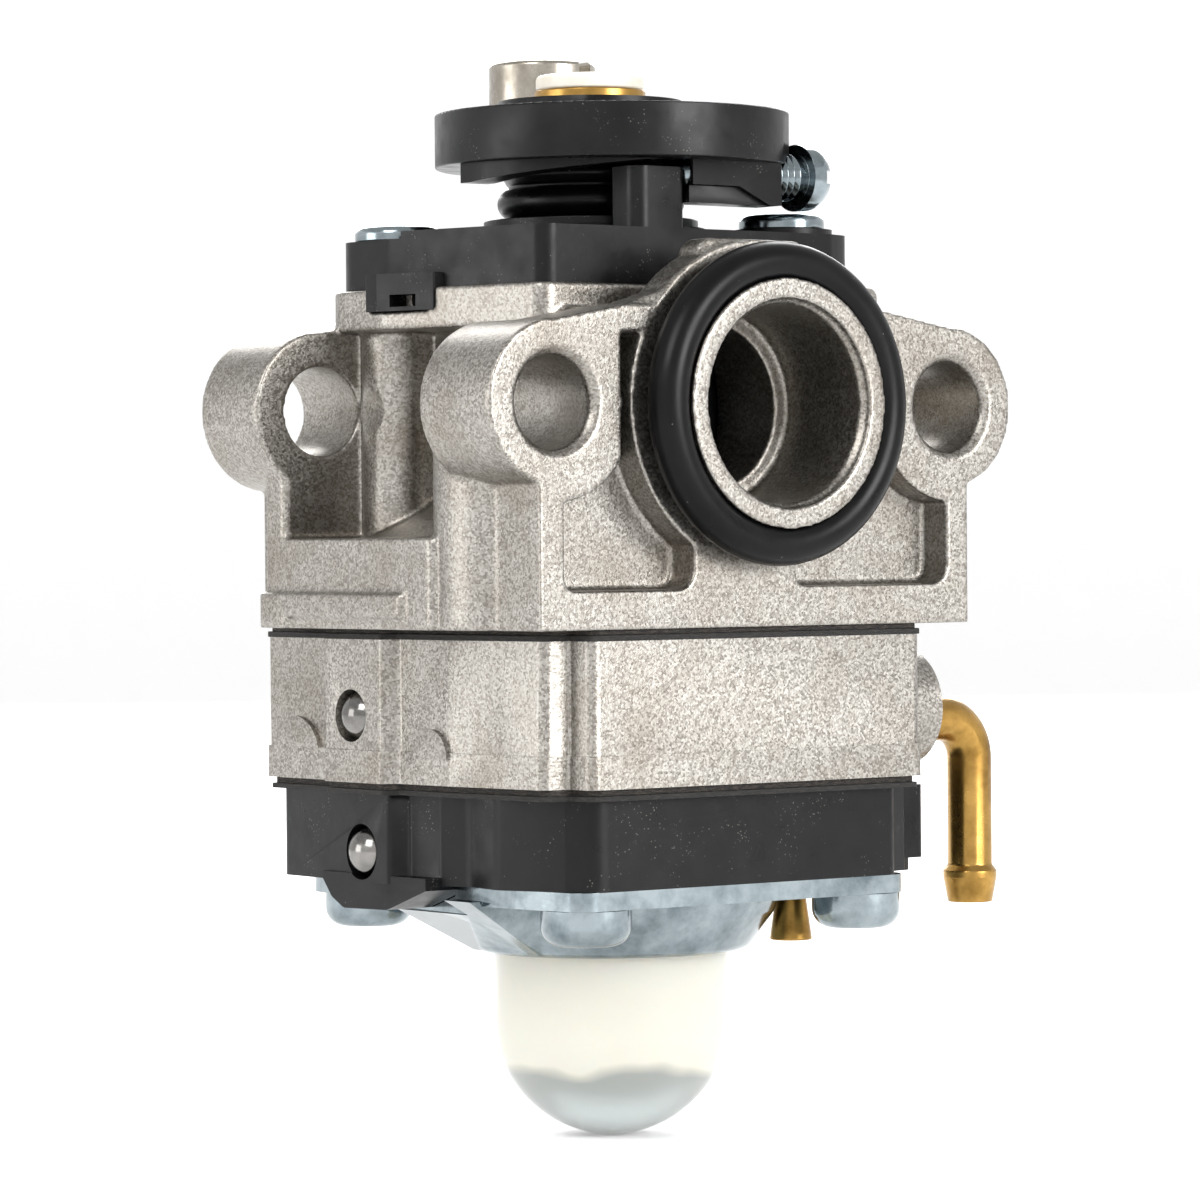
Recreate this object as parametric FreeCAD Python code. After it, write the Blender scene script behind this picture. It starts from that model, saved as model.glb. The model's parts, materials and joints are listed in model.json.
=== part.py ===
"""Rotary-barrel diaphragm carburetor for a small four-stroke engine.

Frame: X to the right along the intake face, Y from the intake face towards the engine, Z up.
The origin is on the axis of the intake bore, in the plane of the intake ears. Millimetres.
"""
import FreeCAD, Part
import math
import os

V = FreeCAD.Vector
X_AXIS, Y_AXIS, Z_AXIS = V(1, 0, 0), V(0, 1, 0), V(0, 0, 1)

# ---- driving dimensions -------------------------------------------------------------------
BOLT_PITCH = 31.0                 # between the two engine bolts
EAR_X = BOLT_PITCH / 2
EAR_R = 4.95
BOLT_R = 2.78
BODY_LENGTH = 30.2                # intake face to engine face
SIDE_X = 16.8                     # half width of the intake flange
BACK_X = 15.8                     # half width at the engine face
WING_X, WING_Y = 18.4, 26.3       # low side blocks, and how far back they reach
FRONT_FLANGE, REAR_FLANGE = 4.8, 6.2
MID_Y = BODY_LENGTH / 2 - 0.1     # centre line of the lower stack
BARREL_Y = 16.5                   # throttle barrel axis
THROAT_R, INLET_R, MOUTH_R = 5.0, 6.0, 6.3
INLET_DEPTH = 4.6                 # where the inlet steps down to the throat
BOSS_R = 9.95
RING_R, RING_WIRE_R, RING_Y = 8.51, 1.28, -1.76
SPIGOT_R, SPIGOT_Y = 7.55, -2.9

# levels along Z
Z_TOP, Z_COVER = 5.9, 7.45        # top deck of the body, seat of the cover
Z_COVER_TOP = 11.0
Z_BODY = -13.45
Z_PUMP_GASKET, Z_PUMP_SHEET = -13.75, -14.1
Z_METER_BODY = -22.9
Z_METER_GASKET, Z_METER_SHEET = -23.3, -23.6
Z_PURGE = -29.05
Z_PLATE = -30.2
Z_DISH = -33.8
Z_BULB = -45.3
Z_LEVER, Z_LEVER_TOP = 15.24, 18.6

BARREL_R = 8.0
BARREL_BORE_R = BARREL_R + 0.04
BARREL_FLOOR, BARREL_CROWN = -7.4, 6.4
STEM_R = 3.2
LIFT = 1.2                        # rise of the barrel from idle to full throttle
TURN = 75.0                       # lever travel in degrees
CAM_R = 8.6                       # radius of the cam track under the lever
CAM_ANGLE = -104.0                # where the follower ball stands
BALL_R = 0.9

Z_LOBE_LEFT, Z_LOBE_RIGHT = 10.55, 11.35   # cover under its two screws

RETAINER_X, RETAINER_DY = 10.66, 11.2
RETAINER_SCREWS = [(sx * RETAINER_X, MID_Y + sy * RETAINER_DY) for sx in (-1, 1) for sy in (-1, 1)]
COVER_SCREW_X, COVER_SCREW_DY = 10.7, 5.9
COVER_SCREWS = [(-COVER_SCREW_X, BARREL_Y + COVER_SCREW_DY), (COVER_SCREW_X, BARREL_Y - COVER_SCREW_DY)]
M3_R, M3_CLEAR_R = 1.5, 1.62
BULB_R, BULB_WALL = 7.4, 0.9
CHAMBER_R = 8.6                   # metering chamber
PLUG_BALL_Y, PLUG_BALL_Z = 19.2, -18.8
PURGE_BALL_Z = -27.2
ELBOW_Y, ELBOW_Z = 6.0, -19.7


# ---- helpers ------------------------------------------------------------------------------
def box(x0, x1, y0, y1, z0, z1):
    return Part.makeBox(x1 - x0, y1 - y0, z1 - z0, V(x0, y0, z0))


def cyl_x(x0, x1, y, z, r):
    return Part.makeCylinder(r, x1 - x0, V(x0, y, z), X_AXIS)


def cyl_y(x, z, y0, y1, r):
    return Part.makeCylinder(r, y1 - y0, V(x, y0, z), Y_AXIS)


def cyl_z(x, y, z0, z1, r):
    return Part.makeCylinder(r, z1 - z0, V(x, y, z0), Z_AXIS)


def cone_z(x, y, z0, z1, r0, r1):
    return Part.makeCone(r0, r1, z1 - z0, V(x, y, z0), Z_AXIS)


def cone_y(x, z, y0, y1, r0, r1):
    return Part.makeCone(r0, r1, y1 - y0, V(x, y0, z), Y_AXIS)


def outline(corners, place):
    """Closed wire through corners (a, b, radius); place maps (a, b) to a vector."""
    starts, ends, mids = [], [], []
    count = len(corners)
    for i, (a, b, r) in enumerate(corners):
        pa, pb = corners[i - 1][:2], corners[(i + 1) % count][:2]
        u1 = V(pa[0] - a, pa[1] - b, 0).normalize()
        u2 = V(pb[0] - a, pb[1] - b, 0).normalize()
        corner = V(a, b, 0)
        half = u1.getAngle(u2) / 2
        cut = r / math.tan(half)
        middle = (u1 + u2)
        if r == 0 or middle.Length < 1e-6:
            starts.append(corner), ends.append(corner), mids.append(None)
            continue
        centre = corner + middle.normalize() * (r / math.sin(half))
        starts.append(corner + u1 * cut)
        ends.append(corner + u2 * cut)
        mids.append(centre + (corner - centre).normalize() * r)
    edges = []
    for i in range(count):
        if mids[i] is not None:
            edges.append(Part.Arc(*[place(p.x, p.y) for p in (starts[i], mids[i], ends[i])]).toShape())
        a, b = ends[i], starts[(i + 1) % count]
        if (b - a).Length > 1e-6:
            edges.append(Part.LineSegment(place(a.x, a.y), place(b.x, b.y)).toShape())
    return Part.Wire(edges)


def plan(corners, z0, z1):
    """Outline in X and Y, extruded from z0 to z1."""
    wire = outline(corners, lambda a, b: V(a, b, z0))
    return Part.Face(wire).extrude(V(0, 0, z1 - z0))


def front(corners, y0, y1):
    """Outline in X and Z, extruded from y0 to y1."""
    wire = outline(corners, lambda a, b: V(a, y0, b))
    return Part.Face(wire).extrude(V(0, y1 - y0, 0))


def turned(corners, x, y):
    """Outline of radius and height, turned a full circle about a vertical axis."""
    wire = outline(corners, lambda a, b: V(x + a, y, b))
    return Part.Face(wire).revolve(V(x, y, 0), Z_AXIS, 360)


def joined(first, *others):
    return first.fuse(list(others)).removeSplitter()


def both_sides(shape):
    """The shape and its mirror image across the middle plane X = 0."""
    return [shape, shape.mirror(V(0, 0, 0), X_AXIS)]


def softened(shape, radius, wanted):
    """Fillet the edges that wanted(edge) picks."""
    edges = [e for e in shape.Edges if wanted(e)]
    return shape.makeFillet(radius, edges) if edges else shape


def screw_z(x, y, seat, head_r, head_h, shank_r, tip, up):
    """Cross-recessed pan-head screw; up says whether its head is above the seat."""
    s = 1 if up else -1
    dome = head_h * 0.55
    head = turned([(0, seat, 0), (head_r, seat, 0), (head_r, seat + s * head_h, dome),
                   (0, seat + s * head_h, 0)], x, y)
    shank = cyl_z(x, y, min(tip, seat), max(tip, seat), shank_r)
    blade = head_r * 0.62
    z_low = seat + s * head_h * 0.45
    z_low, z_high = sorted((z_low, seat + s * (head_h + 1)))
    cross = box(x - blade, x + blade, y - 0.35, y + 0.35, z_low, z_high).fuse(
        box(x - 0.35, x + 0.35, y - blade, y + blade, z_low, z_high))
    return joined(head, shank).cut(cross)


# ---- main body ----------------------------------------------------------------------------
def flange_outline(side):
    """Left and right sides, foot and sloping shoulders of a flange, without its ears."""
    shoulder = min(side, 15.3)
    return [(-side, Z_BODY, 0), (side, Z_BODY, 0), (side, 0, 0), (shoulder, 4.95, 0), (9.9, Z_TOP, 0),
            (-9.9, Z_TOP, 0), (-shoulder, 4.95, 0), (-side, 0, 0)]


def ear(x, y0, y1):
    return cyl_y(x, 0, y0, y1, EAR_R)


def cover_seat(grow):
    """Plan of the throttle cover as solids' footprint: a round housing and two screw lobes."""
    (lx, ly), (rx, ry) = COVER_SCREWS
    g = grow
    return [(-11.0 - g, 7.0 - g, 1.2), (7.0, 7.0 - g, 1.5), (rx + 1.2, ry - 3.4 - g, 1.4),
            (rx + 3.7 + g, ry - 2.4, 1.8), (rx + 3.7 + g, ry + 2.6, 2.6), (9.6 + g, 19.5, 3.0),
            (7.5, 26.2 + g, 4.5), (lx + 1.0, 26.0 + g, 2.5), (lx - 2.9 - g, ly + 2.6, 2.2),
            (lx - 2.9 - g, ly - 3.0, 1.6)]


def main_body():
    flange = joined(front(flange_outline(SIDE_X), 0, FRONT_FLANGE), ear(-EAR_X, 0, 7.0), ear(EAR_X, 0, 7.0))
    crest = front([(-9.9, Z_TOP - 3, 0), (10.0, Z_TOP - 3, 0), (10.0, 7.3, 0.6), (4.4, 7.3, 0),
                   (4.4, 10.0, 1.2), (-4.4, 10.0, 1.2), (-4.4, 7.1, 0.3), (-6.4, 7.0, 0.5),
                   (-9.9, Z_TOP, 0)], 0.5, 2.5)
    rear = joined(front(flange_outline(BACK_X), BODY_LENGTH - REAR_FLANGE, BODY_LENGTH),
                  ear(-EAR_X, BODY_LENGTH - REAR_FLANGE, BODY_LENGTH),
                  ear(EAR_X, BODY_LENGTH - REAR_FLANGE, BODY_LENGTH))
    core = box(-9.5, 9.5, 2.0, BODY_LENGTH - 2, Z_BODY, Z_TOP)
    shoulders = front([(-12.8, -6.0, 0), (12.8, -6.0, 0), (12.8, 3.5, 2.0), (10.0, Z_TOP, 0),
                       (-10.0, Z_TOP, 0), (-12.8, 3.5, 2.0)], 2.0, 9.5)
    housing = cyl_z(0, BARREL_Y, Z_BODY, Z_TOP, 10.2)
    seat = plan(cover_seat(0.7), Z_TOP - 1.0, Z_COVER)
    boss = cyl_y(0, 0, 0.0, 2.5, BOSS_R)
    skirt = cone_z(0, BARREL_Y, -7.9, -5.6, 14.5, 10.2).common(box(-15, 15, 5, 26, -8, 0))
    solids = [flange, crest, rear, core, shoulders, housing, seat, boss, skirt]
    for x, y in COVER_SCREWS:
        solids.append(cyl_z(x, y, Z_BODY, Z_TOP, 2.35))
    column = cyl_z(-13.9, 7.4, Z_BODY, 0, 4.2)
    wing_front = BODY_LENGTH - REAR_FLANGE
    block = plan([(-WING_X, 8.6, 0.4), (-9, 8.6, 0), (-9, WING_Y, 0), (-WING_X, WING_Y, 0.5)], Z_BODY, -7.9)
    wing = plan([(-WING_X, wing_front, 0.4), (-9, wing_front, 0), (-9, WING_Y, 0), (-WING_X, WING_Y, 0.5)],
                Z_BODY, -2.0)
    band = plan([(-WING_X - 0.4, 11.4, 0.2), (-9, 11.4, 0), (-9, 23.6, 0), (-WING_X - 0.4, 23.6, 0.2)],
                -12.75, -11.3)
    heel = plan([(-WING_X - 0.4, 23.6, 0.2), (-9, 23.6, 0), (-9, WING_Y + 0.2, 0),
                 (-WING_X - 0.4, WING_Y + 0.2, 0.5)], Z_BODY, -11.3)
    for piece in (column, block, wing, band, heel):
        solids += both_sides(piece)
    spigot = cyl_y(0, 0, SPIGOT_Y, 2.0, SPIGOT_R)
    body = joined(solids[0], *solids[1:], spigot)
    return body.cut(body_cavities() + [cover_clip()])


def front_pocket(left, right, foot):
    """Shallow cast pocket in the intake face, kept clear of the ears and the bore boss."""
    depth = 2.2
    region = front([(left, foot, 0.8), (right, foot, 1.2), (right, 1.0, 0), (left, 1.0, 0)], -1, depth)
    keep = joined(cyl_y(0, 0, -2, depth + 1, BOSS_R), cyl_y(-EAR_X, 0, -2, depth + 1, 5.9),
                  cyl_y(EAR_X, 0, -2, depth + 1, 5.9))
    return region.cut(keep)


def body_cavities():
    """Everything cut from the casting."""
    holes = [cyl_y(0, 0, SPIGOT_Y - 1, BODY_LENGTH + 1, THROAT_R),
             cyl_y(0, 0, SPIGOT_Y - 1, INLET_DEPTH, INLET_R),
             cyl_y(0, 0, SPIGOT_Y - 1, SPIGOT_Y + 0.55, MOUTH_R),
             cyl_z(0, BARREL_Y, BARREL_FLOOR, Z_COVER + 1, BARREL_BORE_R),
             Part.makeTorus(RING_R, RING_WIRE_R + 0.02, V(0, RING_Y, 0), Y_AXIS)]
    for x in (-EAR_X, EAR_X):
        holes += [cyl_y(x, 0, -1, BODY_LENGTH + 1, BOLT_R),
                  cone_y(x, 0, -0.01, 0.45, BOLT_R + 0.45, BOLT_R)]
        inner = x - math.copysign(EAR_R, x) * 0.98
        notch = box(min(inner, inner * 0.8), max(inner, inner * 0.8), -1, 4.2, -3.5, 4.2)
        holes.append(notch.cut(joined(cyl_y(0, 0, -2, 8, BOSS_R), cyl_y(x, 0, -2, 8, EAR_R))))
    holes += [front_pocket(-15.0, -5.2, -11.1), front_pocket(2.8, 15.05, -11.0)]
    for x, y in COVER_SCREWS:
        holes.append(cyl_z(x, y, Z_TOP - 8.5, Z_COVER + 1, M3_R))
    for x, y in RETAINER_SCREWS:
        holes.append(cyl_z(x, y, Z_BODY - 1, Z_BODY + 5.5, M3_R))
    holes += [cyl_z(0, BARREL_Y, Z_BODY - 1, BARREL_FLOOR + 0.1, 2.06),
              cyl_z(0, BARREL_Y, Z_BODY - 1, Z_BODY + 2.6, 3.4),
              cyl_z(-5.5, 24.5, Z_BODY - 1, -8.5, 1.1), cyl_y(-5.5, -9.6, 23.5, BODY_LENGTH + 1, 1.1),
              plan([(-6.5, 5.2, 1), (6.5, 5.2, 1), (6.5, 8.6, 1), (-6.5, 8.6, 1)], Z_BODY - 1, Z_BODY + 1.2)]
    for side in (-1, 1):
        xs = sorted((side * 7.6, side * 14.6))
        holes.append(front([(xs[0], -11.6, 1.2), (xs[1], -11.6, 1.2), (xs[1], -6.6, 1.2), (xs[0], -6.6, 1.2)],
                           BODY_LENGTH - 1.8, BODY_LENGTH + 1))
    return holes


def spigot_o_ring():
    return Part.makeTorus(RING_R, RING_WIRE_R, V(0, RING_Y, 0), Y_AXIS)


# ---- gaskets, sheets and lower bodies ------------------------------------------------------
def stack_outline(grow, back=29.6):
    """Plan of the lower stack; grow moves every side outwards."""
    g = grow
    return [(-12.9 - g, 0.2 - g, 0.7), (13.1 + g, 0.2 - g, 0.7), (13.1 + g, 3.4, 0.4), (15.2 + g, 4.2, 1.0),
            (15.2 + g, 27.0, 1.5), (13.4 + g, back + g, 1.5), (-16.0 - g, back + g, 0.6),
            (-16.0 - g, 22.2, 0.2), (-16.9 - g, 22.0, 0.3), (-16.9 - g, 16.0, 0.3),
            (-15.9 - g, 15.4, 0.4), (-15.7 - g, 10.6, 2.5), (-15.2 - g, 6.4, 2.5), (-14.8 - g, 2.4, 0.8),
            (-13.0 - g, 2.2, 0.2)]


def screw_holes(z0, z1, r=M3_CLEAR_R):
    return [cyl_z(x, y, z0 - 1, z1 + 1, r) for x, y in RETAINER_SCREWS]


def sheet(grow, z_top, z_low, window_r):
    body = plan(stack_outline(grow), z_low, z_top).cut(screw_holes(z_low, z_top))
    return body.cut(cyl_z(0, MID_Y, z_low - 1, z_top + 1, window_r)) if window_r else body


def pump_gasket():
    return sheet(-0.1, Z_BODY, Z_PUMP_GASKET, 0).cut(
        [cyl_z(0, BARREL_Y, Z_PUMP_GASKET - 1, Z_BODY + 1, 3.4),
         box(-6.5, 6.5, 5.2, 8.6, Z_PUMP_GASKET - 1, Z_BODY + 1)])


def pump_diaphragm():
    return sheet(0.1, Z_PUMP_GASKET, Z_PUMP_SHEET, 0).cut(
        cyl_z(0, BARREL_Y, Z_PUMP_SHEET - 1, Z_PUMP_GASKET + 1, 3.4))


def metering_body():
    body = plan(stack_outline(0), Z_METER_BODY, Z_PUMP_SHEET)
    lip = plan(stack_outline(0.12), Z_METER_BODY, -20.9)
    inlet_boss = cyl_x(10.0, 16.7, ELBOW_Y, -18.85, 3.7)
    marks = [cyl_x(-16.3, -12, 26.1, -21.6, 2.6).common(box(-20, 0, 20, 30, -20.9, -17)),
             cyl_x(-16.05, -12, 12.2, -21.2, 1.7).common(box(-20, 0, 5, 15, -21.3, -17))]
    body = joined(body, lip, inlet_boss, *marks)
    chamber_roof = Z_METER_BODY + 4.2
    cuts = screw_holes(Z_METER_BODY, Z_PUMP_SHEET)
    cuts += [cyl_z(0, MID_Y, Z_METER_BODY - 1, chamber_roof, CHAMBER_R),
             cyl_z(0, BARREL_Y, Z_METER_BODY, Z_PUMP_SHEET + 1, 2.06),
             cyl_z(0, BARREL_Y, Z_PUMP_SHEET - 1.6, Z_PUMP_SHEET + 1, 3.4),
             cyl_z(NEEDLE_X, NEEDLE_Y, chamber_roof - 1, Z_PUMP_SHEET + 1, 0.8),
             cyl_z(NEEDLE_X, NEEDLE_Y, chamber_roof - 1, chamber_roof + 1.28, 1.0),
             cyl_x(4.0, 17, ELBOW_Y, ELBOW_Z, 1.0), cyl_x(12.0, 17, ELBOW_Y, ELBOW_Z, 1.42),
             cyl_z(4.6, ELBOW_Y, ELBOW_Z, Z_PUMP_SHEET + 1, 1.0),
             cyl_z(4.6, ELBOW_Y, Z_PUMP_SHEET - 1.2, Z_PUMP_SHEET + 1, 2.2),
             cyl_x(-18, -9.6, PLUG_BALL_Y, PLUG_BALL_Z, 0.9),
             cyl_x(-18, -14.0, PLUG_BALL_Y, PLUG_BALL_Z, 1.62),
             box(-6.5, 0.5, 5.0, 5.9, Z_PUMP_SHEET - 1.2, Z_PUMP_SHEET + 1)]
    cuts += lever_pocket_cuts()
    return joined(body.cut(cuts), *pin_lugs())


def metering_gasket():
    return sheet(-0.25, Z_METER_BODY, Z_METER_GASKET, CHAMBER_R)


def metering_diaphragm():
    return sheet(-0.05, Z_METER_GASKET, Z_METER_SHEET, 2.0)


def purge_outline(grow=0.0):
    g = grow
    return [(-11.9 - g, 1.2 - g, 1.8), (11.9 + g, 1.2 - g, 0.8), (12.2 + g, 3.2, 0.5), (15.0 + g, 3.9, 0.5),
            (15.0 + g, 27.0, 2.0), (12.8 + g, 28.9 + g, 1.5), (-15.7 - g, 28.5 + g, 0.8),
            (-16.3 - g, 16.2, 0.4), (-15.2 - g, 15.4, 0.5), (-15.0 - g, 12.6, 1.0),
            (-14.1 - g, 10.6, 1.6), (-14.7 - g, 7.4, 1.6), (-13.6 - g, 4.6, 1.6), (-12.9 - g, 2.9, 1.0)]


def purge_body():
    body = plan(purge_outline(), Z_PURGE, Z_METER_SHEET)
    lobe = outline([(23.3, Z_PURGE + 0.5, 0), (23.3, Z_PURGE, 0), (22.4, -30.1, 0.6), (21.1, -30.75, 0.8),
                    (16.5, -30.65, 1.5), (12.5, -29.3, 0), (12.5, Z_PURGE + 0.5, 0)], lambda a, b: V(-16.2, a, b))
    rib = Part.Face(lobe).extrude(V(3.2, 0, 0))
    side = plan([(12, 3.95, 0), (16.5, 3.95, 0.4), (16.5, 11.0, 0.6), (12, 11.0, 0)], -28.3, Z_METER_SHEET - 0.1)
    nub = cyl_z(15.0, 5.4, -29.1, -28.0, 1.1)
    body = joined(body, rib, side, nub)
    cuts = screw_holes(Z_PURGE, Z_METER_SHEET)
    cuts += [cyl_z(0, MID_Y, Z_METER_SHEET - 2.0, Z_METER_SHEET + 1, CHAMBER_R),
             cyl_z(0, MID_Y, Z_PURGE - 1, Z_PURGE + 1.2, BULB_R + 1.5),
             cyl_z(0, MID_Y, Z_PURGE, Z_METER_SHEET - 1, 1.0),
             cyl_z(3.3, MID_Y, Z_PURGE, Z_METER_SHEET - 1.5, 0.7),
             cyl_z(-3.3, MID_Y, Z_PURGE, Z_METER_SHEET - 1.5, 0.7),
             cyl_x(-18, -10.0, PLUG_BALL_Y, PURGE_BALL_Z, 0.9),
             cyl_x(-18, -13.5, PLUG_BALL_Y, PURGE_BALL_Z, 1.72),
             cyl_z(9.9, 9.2, Z_PURGE - 1, Z_PURGE + 3.2, 1.26)]
    return body.cut(cuts)


def plate_outline():
    return [(-12.9, 1.3, 1.6), (12.9, 1.3, 1.6), (13.6, 6.6, 1.6), (12.2, 12.0, 3.0), (12.2, 18.6, 3.0),
            (13.6, 23.0, 1.6), (13.4, 29.2, 2.4), (-13.4, 29.2, 2.4), (-14.6, 23.6, 1.6),
            (-14.2, 19.4, 1.5), (-14.0, 11.2, 1.5), (-13.7, 6.8, 1.4)]


def retainer_plate():
    sheet_t = Z_PURGE - Z_PLATE
    flat = plan(plate_outline(), Z_PLATE, Z_PURGE)
    dish = turned([(0, Z_PLATE + 0.2, 0), (10.7, Z_PLATE + 0.2, 0), (10.3, Z_PLATE - 1.2, 0.8),
                   (8.6, Z_DISH, 1.2), (0, Z_DISH, 0)], 0, MID_Y)
    hollow = turned([(0, Z_PURGE + 0.1, 0), (9.7, Z_PURGE + 0.1, 0), (9.3, Z_PLATE - 0.9, 0.5),
                     (8.0, Z_DISH + 0.95, 0.5), (0, Z_DISH + 0.95, 0)], 0, MID_Y)
    tail = ramp_wedge()
    plate = joined(flat, dish, tail).cut(hollow)
    cuts = screw_holes(Z_PLATE - 1, Z_PURGE)
    cuts += [cyl_z(0, MID_Y, Z_DISH - 1, Z_PURGE + 1, BULB_R + 0.05),
             cyl_z(9.9, 9.2, Z_PLATE - 4, Z_PURGE + 1, 1.75),
             box(-17, -12.9, 12.4, 23.4, Z_PLATE - 0.7, Z_PURGE + 1)]
    return plate.cut(cuts)


def ramp_wedge():
    """Pressed ramp that runs out of the dish towards the left edge of the plate."""
    rings = []
    for far, half, z in ((-14.9, 5.2, Z_PLATE + 0.3), (-8.2, 3.4, Z_DISH + 0.15)):
        corners = [V(far, MID_Y - half, z), V(-2, MID_Y - half, z), V(-2, MID_Y + half, z), V(far, MID_Y + half, z)]
        rings.append(Part.makePolygon(corners + corners[:1]))
    return Part.makeLoft(rings, True, True)


def primer_bulb():
    flange_r = BULB_R + 1.4
    seat = Z_PURGE + 1.2
    centre = Z_BULB + BULB_R
    outer = joined(cyl_z(0, MID_Y, Z_PURGE, seat, flange_r), cyl_z(0, MID_Y, centre, seat, BULB_R),
                   Part.makeSphere(BULB_R, V(0, MID_Y, centre)))
    tip = joined(outer, cyl_z(0, MID_Y, Z_BULB - 0.15, Z_BULB + 1, 1.6))
    inner = joined(cyl_z(0, MID_Y, centre, seat + 0.1, BULB_R - BULB_WALL),
                   Part.makeSphere(BULB_R - BULB_WALL, V(0, MID_Y, centre)))
    return tip.cut(inner)


def retainer_screws():
    return Part.makeCompound([screw_z(x, y, Z_PLATE, 2.75, 2.2, 1.45, Z_BODY + 4.6, False)
                              for x, y in RETAINER_SCREWS])


def plug_ball(z, x):
    return Part.makeSphere(1.6, V(x, PLUG_BALL_Y, z))


# ---- fuel fittings --------------------------------------------------------------------------
def tube_along(path, start, direction, outer, inner):
    """Round tube swept along a wire."""
    rings = [Part.Wire(Part.Circle(start, direction, r).toShape()) for r in (outer, inner)]
    skins = [path.makePipeShell([ring], True, False) for ring in rings]
    return skins[0].cut(skins[1])


def fuel_inlet_elbow():
    leg_x, bend, foot = 22.25, 2.6, -31.5
    corner = ELBOW_Z - bend
    a, b = V(13.0, ELBOW_Y, ELBOW_Z), V(leg_x - bend, ELBOW_Y, ELBOW_Z)
    mid = V(leg_x - bend + bend * math.sin(math.pi / 4), ELBOW_Y, corner + bend * math.cos(math.pi / 4))
    c, d = V(leg_x, ELBOW_Y, corner), V(leg_x, ELBOW_Y, foot)
    path = Part.Wire([Part.LineSegment(a, b).toShape(), Part.Arc(b, mid, c).toShape(),
                      Part.LineSegment(c, d).toShape()])
    tube = tube_along(path, a, X_AXIS, 1.42, 0.8)
    barb = turned([(1.3, foot, 0), (1.42, foot, 0), (1.72, foot + 1.6, 0.2), (1.72, foot + 2.0, 0.2),
                   (1.42, foot + 2.4, 0), (1.3, foot + 2.4, 0)], leg_x, ELBOW_Y)
    return joined(tube, barb)


def return_fitting():
    tip = Z_PLATE - 3.25
    profile = [(0.75, tip, 0), (1.35, tip, 0.1), (0.95, Z_PLATE - 0.4, 1.5), (0.95, Z_PLATE, 0),
               (1.25, Z_PLATE + 0.6, 0), (1.22, Z_PURGE + 3.2, 0), (0.75, Z_PURGE + 3.2, 0)]
    return turned(profile, 9.9, 9.2)


# ---- metering chamber pieces ----------------------------------------------------------------
LEVER_PIN_X, LEVER_PIN_Z = 2.6, Z_METER_BODY + 2.2
NEEDLE_X, NEEDLE_Y = 6.2, MID_Y - 2.0
LEVER_TIP_X = -1.9


def lever_pocket_cuts():
    return [cyl_z(LEVER_PIN_X, NEEDLE_Y - 4.4, Z_METER_BODY + 4.0, Z_METER_BODY + 6.4, 0.8),
            cyl_z(-0.4, NEEDLE_Y, Z_METER_BODY + 4.0, Z_METER_BODY + 5.6, 1.25)]


def pin_lugs():
    """Two lugs under the chamber roof that carry the lever pin."""
    hole = cyl_y(LEVER_PIN_X, LEVER_PIN_Z, NEEDLE_Y - 5, NEEDLE_Y + 5, 0.52)
    spans = ((NEEDLE_Y - 2.6, NEEDLE_Y - 1.2), (NEEDLE_Y + 1.2, NEEDLE_Y + 2.3))
    return [box(LEVER_PIN_X - 0.7, LEVER_PIN_X + 0.8, y0, y1, LEVER_PIN_Z - 0.9, Z_METER_BODY + 4.3).cut(hole)
            for y0, y1 in spans]


def lever_pin():
    y0, y1 = NEEDLE_Y - 5.2, NEEDLE_Y + 2.4
    return cyl_y(LEVER_PIN_X, LEVER_PIN_Z, y0, y1, 0.5)


def pin_screw():
    """Screw and saddle that hold the lever pin against the chamber roof."""
    y = NEEDLE_Y - 4.4
    head = cyl_z(LEVER_PIN_X, y, LEVER_PIN_Z + 0.5, LEVER_PIN_Z + 1.8, 1.5)
    return joined(head, cyl_z(LEVER_PIN_X, y, LEVER_PIN_Z + 0.5, Z_METER_BODY + 6.0, 0.75))


def metering_lever():
    """Rocking lever; its fork lifts the inlet needle and its tip rests on the diaphragm rivet."""
    z = LEVER_PIN_Z
    arm = box(LEVER_TIP_X, NEEDLE_X + 1.0, NEEDLE_Y - 0.9, NEEDLE_Y + 0.9, z + 0.75, z + 1.15)
    hub = cyl_y(LEVER_PIN_X, z, NEEDLE_Y - 0.9, NEEDLE_Y + 0.9, 1.0)
    bridge = box(LEVER_PIN_X - 0.8, LEVER_PIN_X + 0.8, NEEDLE_Y - 0.9, NEEDLE_Y + 0.9, z + 0.3, z + 1.15)
    drop = box(LEVER_TIP_X, LEVER_TIP_X + 0.5, NEEDLE_Y - 0.9, NEEDLE_Y + 2.0, Z_METER_GASKET + 0.65, z + 1.15)
    lever = joined(arm, hub, bridge, drop)
    return lever.cut([cyl_y(LEVER_PIN_X, z, NEEDLE_Y - 2, NEEDLE_Y + 2, 0.54),
                      box(NEEDLE_X - 0.32, NEEDLE_X + 2, NEEDLE_Y - 0.32, NEEDLE_Y + 0.32, z, z + 2)])


def inlet_needle():
    """Needle valve with a rubber cone; its groove hangs in the fork of the metering lever."""
    z = LEVER_PIN_Z + 0.6
    low = cyl_z(NEEDLE_X, NEEDLE_Y, z - 0.5, z, 0.7)
    neck = cyl_z(NEEDLE_X, NEEDLE_Y, z, z + 0.7, 0.28)
    barrel = cyl_z(NEEDLE_X, NEEDLE_Y, z + 0.7, z + 2.6, 0.85)
    cone = cone_z(NEEDLE_X, NEEDLE_Y, z + 2.6, z + 3.5, 0.85, 0.3)
    return joined(low, neck, barrel, cone)


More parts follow.
